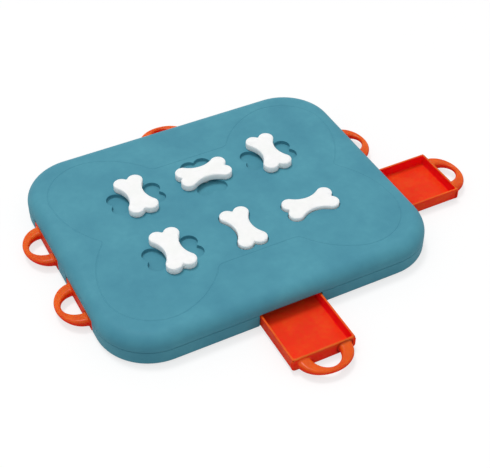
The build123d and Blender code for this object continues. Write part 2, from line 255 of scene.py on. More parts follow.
def lineOutline(halfX, halfY, grow):
    # The bone line round the whole top. Each arc starts at the heading where the last one ends.
    shape = lineShape
    # A is the heading after the corner, B the one after the shoulder.
    end = shape["cornerTurn"] - shape["shoulderTurn"]
    sinA, cosA = math.sin(math.radians(shape["cornerTurn"])), math.cos(math.radians(shape["cornerTurn"]))
    sinB, cosB = math.sin(math.radians(end)), math.cos(math.radians(end))
    rise = shape["corner"] * (1 - cosA) + shape["shoulder"] * (cosB - cosA) + shape["lobe"] * (1 - cosB)
    run = shape["corner"] * sinA + shape["shoulder"] * (sinA - sinB) + shape["lobe"] * (1 + sinB)
    x, y = halfX - shape["endInset"] - run, halfY - shape["sideInset"] - rise + grow
    level = halfY - shape["sideInset"] - shape["lobe"]
    flankTurn = math.degrees(math.asin(level / (shape["flank"] + shape["notch"])))
    line = [(x * k / shape["straightSteps"], y) for k in range(shape["straightSteps"] + 1)]
    heading = 0.0
    for radius, turn, count in (
        (shape["corner"] - grow, shape["cornerTurn"], shape["cornerSteps"]),
        (shape["shoulder"] + grow, -shape["shoulderTurn"], shape["shoulderSteps"]),
        (shape["lobe"] + grow, -90 - end, shape["lobeSteps"]),
        (shape["flank"] + grow, -flankTurn, shape["flankSteps"]),
        (shape["notch"] - grow, flankTurn, shape["notchSteps"]),
    ):
        side = 1 if turn > 0 else -1
        x, y = line[-1]
        a = math.radians(heading)
        cx, cy = x - side * radius * math.sin(a), y + side * radius * math.cos(a)
        start = heading - 90 * side
        line += arcPoints(cx, cy, radius, start, start + turn, count)[1:]
        heading += turn
    return quarterTurn(line)


class Wire:
    # A socket that can stand in an expression.

    def __init__(self, nodes, socket):
        self.nodes, self.socket = nodes, socket

    def maths(self, operation, first, second=0.0):
        return self.nodes.wire("ShaderNodeMath", {"operation": operation}, {0: first, 1: second})

    def cosine(self):
        return self.maths("COSINE", self)

    def atLeast(self, low):
        return self.maths("MAXIMUM", self, low)

    def above(self, level):
        return self.maths("GREATER_THAN", self, level)

    def __truediv__(self, other):
        return self.maths("DIVIDE", self, other)

    def __add__(self, other):
        return self.maths("ADD", self, other)

    def __sub__(self, other):
        return self.maths("SUBTRACT", self, other)

    def __rsub__(self, other):
        return self.maths("SUBTRACT", other, self)

    def __mul__(self, other):
        return self.maths("MULTIPLY", self, other)

    def __pow__(self, other):
        return self.maths("POWER", self, other)

    __radd__, __rmul__ = __add__, __mul__


class NodeMaker:
    # A node tree whose nodes all come from one method.

    def __init__(self, tree):
        self.tree = tree
        tree.nodes.clear()

    def node(self, kind, settings, values):
        # A list as a value links several wires to one socket.
        made = self.tree.nodes.new(kind)
        for key, value in settings.items():
            setattr(made, key, value)
        for key, value in values.items():
            socket = made.inputs[key]
            for each in value if isinstance(value, list) else [value]:
                if isinstance(each, Wire):
                    self.tree.links.new(each.socket, socket)
                elif isinstance(each, tuple) and len(each) == 3 and socket.type == "RGBA":
                    socket.default_value = (*each, 1)
                else:
                    socket.default_value = each
        return made

    def wire(self, kind, settings, values, output=0):
        return Wire(self, self.node(kind, settings, values).outputs[output])

    def seenRays(self):
        # 1 for what the camera sees straight, in a reflection or through a clear piece.
        rays = self.node("ShaderNodeLightPath", {}, {}).outputs
        return sum((Wire(self, rays["Is Glossy Ray"]), Wire(self, rays["Is Transmission Ray"])),
                   Wire(self, rays["Is Camera Ray"]))


class Finish(NodeMaker):
    # A material and the shader parts that it is made of.

    def __init__(self, name):
        self.material = bpy.data.materials.new(name)
        self.material.use_nodes = True
        super().__init__(self.material.node_tree)
        self.place = self.wire("ShaderNodeTexCoord", {}, {}, "Object")

    def mapped(self, scale, turn=0.0):
        # The object's own coordinates, turned about Z and stretched.
        values = {"Vector": self.place, "Rotation": (0, 0, turn), "Scale": scale}
        return self.wire("ShaderNodeMapping", {}, values)

    def noise(self, size, detail, rough, place=None):
        # Noise whose lumps are about this many millimetres across, from 0 to 1.
        values = {"Vector": place or self.place, "Scale": 1 / (size * mm)}
        return self.wire("ShaderNodeTexNoise", {}, {**values, "Detail": detail, "Roughness": rough})

    def spread(self, value, low, high):
        # 0 up to the low value and 1 from the high one, with a soft step between.
        soft = {"interpolation_type": "SMOOTHSTEP"}
        return self.wire("ShaderNodeMapRange", soft, {0: value, 1: low, 2: high})

    def mix(self, amount, first, second):
        return self.wire("ShaderNodeMix", {"data_type": "RGBA"}, {0: amount, 6: first, 7: second}, 2)

    def bump(self, height, depth, strength, under=None):
        values = {"Height": height, "Distance": depth * mm, "Strength": strength}
        if under is not None:
            values["Normal"] = under
        return self.wire("ShaderNodeBump", {}, values)

    def done(self, base, rough, normal, constants):
        values = {"Base Color": base, "Roughness": rough, "Normal": normal, **constants}
        surface = self.wire("ShaderNodeBsdfPrincipled", {}, values)
        self.node("ShaderNodeOutputMaterial", {}, {"Surface": surface})
        return self.material


def toLinear(*colour):
    # A colour as a paint mixer writes it, 0 to 255, into the light that the shader wants.
    return tuple(c / 255 / 12.92 if c < 11 else ((c / 255 + 0.055) / 1.055) ** 2.4 for c in colour)


# In each look a noise has its size in mm, detail and roughness, and a bump its depth in mm and strength.
boardLook = {"colour": (75, 143, 162), "deep": (69, 136, 156), "pale": (82, 152, 169), "roughness": 0.58,
             "gloss": 0.14, "cloud": (45, 3, 0.6), "cloudRange": (0.25, 0.75), "patch": (8, 4, 0.6),
             "patchRange": (0.3, 0.7), "patchShare": 0.5, "patchRough": 0.16, "grain": (0.75, 2, 0.5),
             "grainBump": (0.05, 0.55), "pits": (2.4, 2, 0.55), "pitsBump": (0.08, 0.3),
             "scuff": (100, 167, 181), "scuffNoise": (3.0, 3, 0.7), "scuffStretch": (1, 0.08, 1),
             "scuffTurn": 0.6, "scuffRange": (0.69, 0.78), "scuffShare": 0.25, "scuffRough": 0.08}


def boardFinish():
    # Clouded matt plastic with a fine eroded grain and a few faint scuffs.
    look = boardLook
    f = Finish("boardPlastic")
    cloud, patch = f.noise(*look["cloud"]), f.noise(*look["patch"])
    base = f.mix(f.spread(cloud, *look["cloudRange"]), toLinear(*look["deep"]), toLinear(*look["pale"]))
    base = f.mix(f.spread(patch, *look["patchRange"]) * look["patchShare"], base, toLinear(*look["colour"]))
    stretched = f.mapped(look["scuffStretch"], look["scuffTurn"])
    scuff = f.spread(f.noise(*look["scuffNoise"], stretched), *look["scuffRange"])
    base = f.mix(scuff * look["scuffShare"], base, toLinear(*look["scuff"]))
    rough = look["roughness"] + (patch - 0.5) * look["patchRough"] + scuff * look["scuffRough"]
    pits = f.bump(f.noise(*look["pits"]), *look["pitsBump"])
    normal = f.bump(f.noise(*look["grain"]), *look["grainBump"], pits)
    return f.done(base, rough, normal, {"Specular IOR Level": look["gloss"]})


def glow(look):
    # Light that goes a little way into the plastic.
    return {"Subsurface Weight": look["glow"], "Subsurface Scale": look["glowDepth"] * mm,
            "Subsurface Radius": look["glowTint"]}


# The deep red that a point attribute mixes in is painted shade on the tray's walls, floor and upright sides.
drawerLook = {"colour": (232, 98, 24), "deep": (218, 78, 18), "inside": (244, 24, 28), "roughness": 0.42,
              "gloss": 0.0, "lacquer": 0.32, "lacquerRoughness": 0.25, "cloud": (24, 3, 0.55),
              "cloudRange": (0.3, 0.7), "cloudRough": 0.18, "flow": (5, 2, 0.5), "flowBump": (0.06, 0.25),
              "insideLeast": 0.55, "insideFlow": 0.9, "fine": (0.9, 2, 0.5), "fineBump": (0.02, 0.35),
              "glow": 0.6, "glowDepth": 3.0, "glowTint": (1.0, 0.2, 0.08)}


def drawerFinish():
    # Painted shade: a point attribute, 1 on the tray's inner walls, less on its floor and the outer sides and
    # 0 on the rims and on what faces up, turns the colour a deeper red where it is high, and thins the
    # lacquer there.
    look = drawerLook
    f = Finish("drawerPlastic")
    cloud, flow = f.noise(*look["cloud"]), f.noise(*look["flow"])
    inside = f.wire("ShaderNodeAttribute", {"attribute_name": "inside"}, {}, "Fac")
    base = f.mix(f.spread(cloud, *look["cloudRange"]), toLinear(*look["deep"]), toLinear(*look["colour"]))
    # Painted shade: the deeper red, blotched by the flow noise, where the attribute is high.
    base = f.mix(inside * (look["insideLeast"] + flow * look["insideFlow"]), base, toLinear(*look["inside"]))
    rough = look["roughness"] + (cloud - 0.5) * look["cloudRough"]
    normal = f.bump(f.noise(*look["fine"]), *look["fineBump"], f.bump(flow, *look["flowBump"]))
    lacquer = {"Coat Weight": (1 - inside) * look["lacquer"], "Coat Roughness": look["lacquerRoughness"]}
    return f.done(base, rough, normal, {"Specular IOR Level": look["gloss"], **lacquer, **glow(look)})


boneLook = {"colour": (248, 248, 246), "shade": (243, 244, 242), "roughness": 0.42, "gloss": 0.3,
            "cloud": (14, 3, 0.55), "cloudRange": (0.3, 0.7), "cloudRough": 0.15, "fine": (0.8, 2, 0.5),
            "fineBump": (0.02, 0.35), "glow": 1.0, "glowDepth": 5.0, "glowTint": (1.0, 1.0, 1.0)}


def boneFinish():
    look = boneLook
    f = Finish("bonePlastic")
    cloud = f.noise(*look["cloud"])
    base = f.mix(f.spread(cloud, *look["cloudRange"]), toLinear(*look["shade"]), toLinear(*look["colour"]))
    rough = look["roughness"] + (cloud - 0.5) * look["cloudRough"]
    normal = f.bump(f.noise(*look["fine"]), *look["fineBump"])
    return f.done(base, rough, normal, {"Specular IOR Level": look["gloss"], **glow(look)})


camLook = {"shade": (214, 210, 200), "colour": (226, 223, 214), "cloud": (6, 3, 0.5), "roughness": 0.35,
           "cloudRough": 0.15, "fine": (0.6, 2, 0.5), "fineBump": (0.01, 0.3)}


def camFinish():
    look = camLook
    f = Finish("camPlastic")
    cloud = f.noise(*look["cloud"])
    base = f.mix(cloud, toLinear(*look["shade"]), toLinear(*look["colour"]))
    rough = look["roughness"] + cloud * look["cloudRough"]
    normal = f.bump(f.noise(*look["fine"]), *look["fineBump"])
    return f.done(base, rough, normal, {})


steelLook = {"shade": (148, 150, 154), "colour": (196, 198, 202), "cloud": (1.6, 3, 0.55), "roughness": 0.28,
             "cloudRough": 0.2, "lines": (0.5, 2, 0.5), "linesStretch": (1, 1, 6), "linesBump": (0.01, 0.4)}


def steelFinish():
    look = steelLook
    f = Finish("screwSteel")
    cloud = f.noise(*look["cloud"])
    base = f.mix(cloud, toLinear(*look["shade"]), toLinear(*look["colour"]))
    rough = look["roughness"] + cloud * look["cloudRough"]
    normal = f.bump(f.noise(*look["lines"], f.mapped(look["linesStretch"])), *look["linesBump"])
    return f.done(base, rough, normal, {"Metallic": 1.0})


rubberLook = {"shade": (38, 39, 42), "colour": (58, 59, 62), "cloud": (5, 3, 0.6), "cloudRange": (0.3, 0.7),
              "roughness": 0.72, "cloudRough": 0.2, "gloss": 0.3, "fine": (0.5, 2, 0.5),
              "fineBump": (0.03, 0.5)}


def rubberFinish():
    look = rubberLook
    f = Finish("padRubber")
    cloud = f.noise(*look["cloud"])
    base = f.mix(f.spread(cloud, *look["cloudRange"]), toLinear(*look["shade"]), toLinear(*look["colour"]))
    rough = look["roughness"] + (cloud - 0.5) * look["cloudRough"]
    normal = f.bump(f.noise(*look["fine"]), *look["fineBump"])
    return f.done(base, rough, normal, {"Specular IOR Level": look["gloss"]})


finishes = {"board": boardFinish(), "drawer": drawerFinish(), "bone": boneFinish(), "cam": camFinish(),
            "steel": steelFinish(), "rubber": rubberFinish()}
print("finishes made")


def dress(thing, finish):
    thing.data.materials.clear()
    thing.data.materials.append(finishes[finish])
    return thing


board = {"length": 370.0, "width": 304.0, "height": 33.0, "corner": 58.0, "rounding": 14.5, "seam": 16.5,
         "wall": 2.5, "recessDepth": 4.0, "recessMargin": 0.9, "recessWall": 2.1, "recessFloor": 2.5,
         "rim": 0.4, "rimBand": 0.3, "cove": 0.5, "coveBand": 0.25, "bearingBottom": 24.0, "bearingWall": 3.0,
         "stemHole": 6.06, "bossRadius": 5.0, "bossHole": 1.8, "bossDepth": 10.5, "knobInset": 104.5,
         "rowPlace": 47.5, "topBand": 0.8, "cornerSteps": 22, "sideSteps": 5, "roundingSteps": 18,
         "innerSteps": 10, "rimSteps": 4, "coveSteps": 3, "bossSides": 32}
lip = [(1.98, 1.1), (1.17, 1.1), (0.72, 1.0), (0.405, 0.36), (0.09, 0.765), (0.0, 1.26)]  # inset, rise
groove = [(1.35, 0.0), (1.05, 0.0), (0.85, 0.04), (0.65, 0.15), (0.42, 0.34), (0.0, 0.44)]  # distance, depth
holeEdge = [(0.7, 0.0), (0.4, 0.0), (0.1, 0.12), (0.0, 0.4)]  # widening, depth
signs = [(sx, sy) for sx in (-1, 1) for sy in (-1, 1)]
screwPlaces = [(sx * x, sy * y) for x, y in ((120.0, 125.0), (55.0, 75.0)) for sx, sy in signs]
screwPlaces += [(-140.0, 0.0), (140.0, 0.0)]

knobInset, rowPlace = board["knobInset"], board["rowPlace"]
halfX, halfY = board["length"] / 2, board["width"] / 2
bays = {  # the mouth's middle, the way in, how far the drawer stands out
    "left_front": ((-halfX, -rowPlace), (1, 0), 0),
    "left_back": ((-halfX, rowPlace), (1, 0), 0),
    "right_front": ((halfX, -rowPlace), (-1, 0), 66.0),
    "right_back": ((halfX, rowPlace), (-1, 0), 0),
    "front": ((0, -halfY), (0, 1), 65.0),
    "back": ((0, halfY), (0, -1), 3.0),
}
unlocked = ("right_front", "front")  # their bones lie lengthwise, down in the recess


def bayFrame(name, pulled):
    # X leads inwards, Y across the drawer, Z up.
    mouth, inward, opened = bays[name]
    shift = opened if pulled else 0
    place = Vector((mouth[0] - inward[0] * shift, mouth[1] - inward[1] * shift, 0)) * mm
    turn = Matrix(((inward[0], -inward[1], 0), (inward[1], inward[0], 0), (0, 0, 1))).to_4x4()
    return Matrix.Translation(place) @ turn


def bayPoint(name, u, v):
    mouth, inward, _ = bays[name]
    return (mouth[0] + inward[0] * u - inward[1] * v, mouth[1] + inward[1] * u + inward[0] * v)


def titled(name):
    # A bay's name as the ending of a piece's name.
    return "".join(word.capitalize() for word in name.split("_"))


def knobWell(s, name):
    # One knob's recess, bearing and underside. Returns its edge in the top and in the shell's inner face.
    b = board
    top, level = b["height"], b["height"] - b["recessDepth"]
    margin, rim, cove, hole = b["recessMargin"], b["rim"], b["cove"], b["stemHole"]
    rims, coves = roundOver(rim, b["rimSteps"]), roundOver(cove, b["coveSteps"])
    under, bearing = level - b["recessFloor"], hole + b["bearingWall"]

    def bone(grow, z):
        return s.loop([bayPoint(name, knobInset + x, y) for x, y in boneOutline(grow)], z)

    def bore(radius, z):
        return s.loop(circle(*bayPoint(name, knobInset, 0), radius), z)

    down = [bone(margin + rim + b["rimBand"], top)]
    down += [bone(margin + inset, top - rim + rise) for inset, rise in reversed(rims)]
    down += [bone(margin - inset, level + cove - rise) for inset, rise in coves]
    down.append(bone(margin - cove - b["coveBand"], level))
    s.bands(down)
    stem = [bore(hole + wider, level - depth) for wider, depth in holeEdge]
    stem += [bore(hole, b["bearingBottom"]), bore(bearing, b["bearingBottom"]), bore(bearing, under)]
    s.bands(stem)
    s.region(down[-1], [stem[0]])
    pocket = [bone(margin + b["recessWall"], z) for z in (under, top - b["wall"])]
    s.region(pocket[0], [stem[-1]])
    s.bands(pocket)
    return down[0], pocket[1]


def screwBoss(s, x, y):
    # A post under the top with a blind hole for its screw. Returns its edge in the shell's inner face.
    b = board
    inner, seam = b["height"] - b["wall"], b["seam"]
    steps = [(b["bossRadius"], inner), (b["bossRadius"], seam), (b["bossHole"], seam),
             (b["bossHole"], seam + b["bossDepth"])]
    post = [s.loop(circle(x, y, radius, b["bossSides"]), z) for radius, z in steps]
    s.bands(post)
    s.cap(post[-1])
    return post[0]


def upperShell():
    b = board
    s = Surface()
    top, seam, wall, rounding = b["height"], b["seam"], b["wall"], b["rounding"]
    base = top - rounding

    def edge(inset, z):
        corner = b["corner"] - inset
        return s.loop(roundedBox(halfX - inset, halfY - inset, corner, b["cornerSteps"], b["sideSteps"]), z)

    outside = [edge(inset, seam + rise) for inset, rise in lip]
    outside += [edge(inset, base + rise) for inset, rise in roundOver(rounding, b["roundingSteps"])]
    outside.append(edge(rounding + b["topBand"], top))
    s.bands(outside)
    inside = [edge(wall, seam + lip[0][1])]
    inside += [edge(wall + inset, base + rise) for inset, rise in roundOver(rounding - wall, b["innerSteps"])]
    s.bands(inside)
    s.band(outside[0], inside[0])

    profile = groove + [(-distance, depth) for distance, depth in reversed(groove[:-1])]
    lines = [s.loop(lineOutline(halfX, halfY, distance), top - depth) for distance, depth in profile]
    s.bands(lines)
    s.region(outside[-1], [lines[0]])

    openings, feet = zip(*[knobWell(s, name) for name in bays])
    s.region(lines[-1], openings)
    bosses = [screwBoss(s, x, y) for x, y in screwPlaces]
    s.region(inside[-1], [*feet, *bosses])
    return smooth(addObject("upperShell", s.mesh("upperShell")), crease)


shell = dress(upperShell(), "board")
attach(shell, "board")
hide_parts("top_shell")
dress(frame["nodes"]["bottom_shell"], "board")
print("shells made")

knob = {"thickness": 7.7, "edge": 1.1, "edgeBand": 0.35, "foot": 0.35, "footBand": 0.3, "stem": 6.0,
        "stemLength": 9.5, "drive": 6.4, "driveLength": 9.0, "screwHole": 1.3, "screwDepth": 8.5,
        "upSeat": 33.2, "downSeat": 29.2, "edgeSteps": 7, "footSteps": 3, "boreSides": 24}


def boneKnob(name):
    # A bone with a round stem, a square drive for its cam and a screw hole, built standing on its seat.
    s = Surface()
    k = knob
    top, shoulder, tip = k["thickness"], -k["stemLength"], -k["stemLength"] - k["driveLength"]

    def bone(inset, z):
        return s.loop(boneOutline(-inset), z)

    body = [bone(k["foot"] + k["footBand"], 0)]
    body += [bone(inset, rise) for inset, rise in coveIn(k["foot"], k["footSteps"])]
    body += [bone(inset, top - k["edge"] + rise) for inset, rise in roundOver(k["edge"], k["edgeSteps"])]
    body.append(bone(k["edge"] + k["edgeBand"], top))
    s.bands(body)
    s.region(body[-1])
    stem = [s.loop(circle(0, 0, k["stem"]), z) for z in (0, shoulder)]
    s.region(body[0], [stem[0]])
    s.bands(stem)
    half = k["drive"] / 2
    corners = [(half, half), (-half, half), (-half, -half), (half, -half)]
    square = [s.loop(corners, z) for z in (shoulder, tip)]
    s.region(stem[-1], [square[0]])
    s.bands(square)
    bore = [s.loop(circle(0, 0, k["screwHole"], k["boreSides"]), z) for z in (tip, tip + k["screwDepth"])]
    s.region(square[-1], [bore[0]])
    s.bands(bore)
    s.cap(bore[-1])
    aligned = name in unlocked
    seat = k["downSeat"] if aligned else k["upSeat"]
    turn = Matrix.Identity(4) if aligned else Matrix.Rotation(math.pi / 2, 4, "Z")
    place = bayFrame(name, False) @ Matrix.Translation(Vector((knobInset, 0, seat)) * mm) @ turn
    part = "boneKnob" + titled(name)
    return smooth(addObject(part, s.mesh(part, place)), crease)


for name in bays:
    made = dress(boneKnob(name), "bone")
    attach(made, "knob_" + name)
    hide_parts("bone_" + name)
    dress(frame["nodes"]["lock_cam_" + name], "cam")
    dress(frame["nodes"]["cam_screw_" + name], "steel")
print("knobs made")

drawer = {"width": 69.0, "length": 95.0, "trayStart": 0.8, "wall": 2.0, "bottom": 2.5, "floor": 4.3,
          "rim": 15.5, "corner": 2.5, "cove": 1.2, "soft": 0.45, "panelWidth": 70.8, "panel": 2.5,
          "panelBottom": 0.5, "panelCorner": 4.0, "panelFootCorner": 4.5, "panelEdge": 0.9,
          "tabPlace": 82.8, "tabLength": 5.0, "tabHeight": 3.2, "forkReach": 17.0, "prong": 2.6,
          "prongGap": 16.0, "prongBottom": 5.0, "prongTop": 14.0, "overlap": 1.0, "softAngle": 40,
          # Shares of painted shade on the tray's floor and on upright outer faces, and the normal heights
          # between which a face turns upright.
          "insideOnFloor": 0.6, "insideOnSides": 0.7, "sidesFrom": 0.7, "sidesTo": 0.2,
          "cornerSteps": 6, "sideSteps": 3, "coveSteps": 5, "softSteps": 3, "panelFootSteps": 6,
          "panelCornerSteps": 8, "panelEdgeSteps": 4}
handle = {"reach": 24.5, "width": 60.0, "fingerReach": 18.4, "fingerWidth": 31.6, "footHeight": 10.6,
          "footLevel": 8.0, "tipHeight": 4.2, "tipLevel": 9.0, "root": 2.0, "tipEdge": 2.05, "footEdge": 4.6,
          "roundest": 0.98, "flareRings": (0.0, 0.1, 0.3, 0.6, 1.0, 1.5, 2.0), "rings": 44,
          "edgeSteps": 6, "sideSteps": 3}


def block(name, low, high):
    s = Surface()
    corners = [(low[0], low[1]), (high[0], low[1]), (high[0], high[1]), (low[0], high[1])]
    loops = [s.loop(corners, low[2]), s.loop(corners, high[2])]
    s.cap(loops[0])
    s.bands(loops)
    s.cap(loops[1])
    return addObject(name, s.mesh(name))


def frontPanel():
    # The plate that closes the mouth, with its outer edge rounded.
    d = drawer

    def outline(inset, u):
        half, low, high = d["panelWidth"] / 2 - inset, d["panelBottom"] + inset, d["rim"] - inset
        r, foot = d["panelCorner"] - inset, d["panelFootCorner"] - inset
        line = arcPoints(foot - half, low + foot, foot, 180, 270, d["panelFootSteps"])
        line += arcPoints(half - foot, low + foot, foot, 270, 360, d["panelFootSteps"])
        line += arcPoints(half - r, high - r, r, 0, 90, d["panelCornerSteps"])
        line += arcPoints(r - half, high - r, r, 90, 180, d["panelCornerSteps"])
        return s.ring([(u, v, z) for v, z in line])

    s = Surface()
    edge = d["panelEdge"]
    rounded = reversed(roundOver(edge, d["panelEdgeSteps"]))
    loops = [outline(inset, edge - rise) for inset, rise in rounded]
    loops.append(outline(0, d["panel"]))
    s.cap(loops[0])
    s.bands(loops)
    s.cap(loops[-1])
    return addObject("panel", s.mesh("panel"))


def pocketTool():
    # What is cut out of the tray: round corners, a hollow round the floor and a flare at the rim.
    d = drawer
    halfU = (d["length"] - d["panel"] - d["wall"]) / 2
    halfV = d["width"] / 2 - d["wall"]
    middle = d["panel"] + halfU
    s = Surface()

    def edge(inset, z):
        corner = d["corner"] - inset
        line = roundedBox(halfU - inset, halfV - inset, corner, d["cornerSteps"], d["sideSteps"])
        return s.loop([(middle + x, y) for x, y in line], z)

    flare = roundOver(d["soft"], d["softSteps"])
    loops = [edge(inset, d["floor"] + rise) for inset, rise in coveIn(d["cove"], d["coveSteps"])]
    loops += [edge(-inset, d["rim"] - d["soft"] + rise) for inset, rise in flare]
    loops.append(edge(-d["soft"], d["rim"] + d["tabHeight"]))
    s.cap(loops[0])
    s.bands(loops)
    s.cap(loops[-1])
    return addObject("pocket", s.mesh("pocket"))


def handleLoop():
    # A half ellipse with a half ellipse taken out, tall at its feet and slim at its tip.
    h, depth = handle, drawer["panel"]
    s = Surface()
    midReach = (h["reach"] + h["fingerReach"]) / 2
    starts = [math.asin(u / midReach) for u in h["flareRings"]]
    first, count = starts[-1], h["rings"]
    turns = starts + [first + (math.pi - 2 * first) * k / count for k in range(1, count)]
    turns += [math.pi - a for a in reversed(starts)]

    def along(foot, tip, u):
        # From the value behind the panel to the value at the tip.
        return foot + (tip - foot) * (depth - u) / (depth + h["reach"])

    loops = []
    for a in turns:
        outer = Vector((-h["reach"] * math.sin(a), h["width"] / 2 * math.cos(a)))
        inner = Vector((-h["fingerReach"] * math.sin(a), h["fingerWidth"] / 2 * math.cos(a)))
        middle, across = (outer + inner) / 2, (outer - inner) / 2
        flare = h["root"] - math.sqrt(max(h["root"] ** 2 - max(h["root"] + middle.x, 0) ** 2, 0))
        half = across.length
        tall = along(h["footHeight"], h["tipHeight"], middle.x) / 2 + flare
        edge = min(along(h["footEdge"], h["tipEdge"], middle.x) + flare, tall * h["roundest"])
        ring = []
        for w, z in roundedBox(half + flare, tall, edge, h["edgeSteps"], h["sideSteps"]):
            p = middle + across * (w / half)
            high = along(h["footHeight"], h["tipHeight"], p.x) / 2 + flare
            ring.append((p.x, p.y, along(h["footLevel"], h["tipLevel"], p.x) + z * high / tall))
        loops.append(s.ring(ring))
    for end, ring in ((0, loops[0]), (len(loops), loops[-1])):
        loops.insert(end, s.ring([(depth / 2, *s.points[i][1:]) for i in ring]))
    s.bands(loops)
    s.cap(loops[0])
    s.cap(loops[-1])
    return addObject("loop", s.mesh("loop"))


def markPaintedShade(body):
    # How much painted shade, a deeper red, each point takes, kept as a point attribute.
    d = drawer
    back, side, near = d["length"] - d["wall"], d["width"] / 2 - d["wall"], 0.1
    shares = []
    for corner in body.data.vertices:
        u, v, z = corner.co / mm
        if d["panel"] - near < u < back + near and abs(v) < side + near:
            most = d["insideOnFloor"] if z < d["floor"] + near / 2 else 1.0
            shares.append(min(max((d["rim"] - z) / d["soft"], 0), most))
        else:
            upright = (d["sidesFrom"] - corner.normal.z) / (d["sidesFrom"] - d["sidesTo"])
            shares.append(d["insideOnSides"] * min(max(upright, 0), 1))
    body.data.attributes.new("inside", "FLOAT", "POINT").data.foreach_set("value", shares)


def drawerMesh():
    # The tray with its panel, stop tabs and fork, then its pocket, and the handle last.
    d = drawer
    half, into = d["width"] / 2, d["overlap"]
    body = block("tray", (d["trayStart"], -half, d["bottom"]), (d["length"], half, d["rim"]))
    combine(body, frontPanel(), "UNION")
    for side in (-1, 1):
        low, high = sorted((side * half, side * (half - d["wall"])))
        corner = (d["tabPlace"] + d["tabLength"], high, d["rim"] + d["tabHeight"])
        combine(body, block("tab", (d["tabPlace"], low, d["rim"] - into), corner), "UNION")
        low, high = sorted((side * d["prongGap"] / 2, side * (d["prongGap"] / 2 + d["prong"])))
        corner = (d["length"] + d["forkReach"], high, d["prongTop"])
        combine(body, block("prong", (d["length"] - into, low, d["prongBottom"]), corner), "UNION")
    soften(body, d["soft"], d["softSteps"], d["softAngle"])
    combine(body, pocketTool(), "DIFFERENCE")
    combine(body, handleLoop(), "UNION")
    # Paints shade as a deeper red on the tray's walls, floor and upright sides.
    markPaintedShade(body)
    return body


pattern = drawerMesh()
for name in bays:
    part = "drawer" + titled(name)
    made = addObject(part, pattern.data.copy())
    made.data.name = part
    made.data.transform(bayFrame(name, True))
    dress(smooth(made, smallCrease), "drawer")
    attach(made, "drawer_" + name)
    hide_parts("drawer_" + name)
bpy.data.objects.remove(pattern)
print("drawers made")

screws = {"headRadius": 3.4, "headHeight": 2.2, "crown": 0.55, "headSides": 40, "slotLength": 4.2,
          "slotWidth": 0.9, "slotDepth": 1.3, "shankRadius": 1.7, "shankLength": 20.4, "shankSides": 28,
          "threadRadius": 0.32, "threadTurns": 13.0, "threadSteps": 20, "threadLength": 15.5,
          "tipLength": 0.4, "seed": 4}
screwSeat = 6.0
crownSteps = ((0.5, 0.94), (0.3, 0.87), (0.2, 0.72))  # share of the crown's height, narrowing
pads = {"radius": 11.0, "thickness": 2.0, "ribPitch": 2.2, "ribDepth": 0.5, "edge": 0.7, "rings": 40,
        "sides": 64}
padPlaces = [(sx * 150.0, sy * 98.0) for sx, sy in signs]


def repeated(name, spots, sizes, make, finish):
    # Runs a node tree over a set of spots and keeps what it makes as one plain mesh. Each size is a named
    # input of the tree, and make gives one piece and its turn.
    group = bpy.data.node_groups.new(name, "GeometryNodeTree")
    face = group.interface
    face.new_socket("Spots", in_out="INPUT", socket_type="NodeSocketGeometry")
    keys = {}
    for label, value in sizes.items():
        kind = "NodeSocketInt" if isinstance(value, int) else "NodeSocketFloat"
        keys[label] = face.new_socket(label, in_out="INPUT", socket_type=kind).identifier
    keys["finish"] = face.new_socket("finish", in_out="INPUT", socket_type="NodeSocketMaterial").identifier
    face.new_socket("Mesh", in_out="OUTPUT", socket_type="NodeSocketGeometry")
    g = NodeMaker(group)
    inputs = g.node("NodeGroupInput", {}, {}).outputs
    given = {socket.name: Wire(g, socket) for socket in inputs if socket.name}
    one, turn = make(g, given)
    spread = {"Points": given["Spots"], "Instance": one, "Rotation": turn, "Scale": (mm, mm, mm)}
    real = g.wire("GeometryNodeRealizeInstances", {}, {0: g.wire("GeometryNodeInstanceOnPoints", {}, spread)})
    dressed = g.wire("GeometryNodeSetMaterial", {}, {"Geometry": real, "Material": given["finish"]})
    g.node("NodeGroupOutput", {}, {0: dressed})
    seeds = bpy.data.meshes.new(name)
    seeds.from_pydata([Vector(spot) * mm for spot in spots], [], [])
    thing = addObject(name, seeds)
    step = thing.modifiers.new("repeat", "NODES")
    step.node_group = group
    for label, value in sizes.items():
        step[keys[label]] = value
    step[keys["finish"]] = finishes[finish]
    settle(thing)
    used = thing.data.materials
    while None in list(used):  # a boolean leaves an empty slot
        used.pop(index=list(used).index(None))
    return smooth(thing, smallCrease)


def vector(g, x=0.0, y=0.0, z=0.0):
    return g.wire("ShaderNodeCombineXYZ", {}, {"X": x, "Y": y, "Z": z})


def moved(g, what, z):
    return g.wire("GeometryNodeTransform", {}, {"Geometry": what, "Translation": vector(g, z=z)})


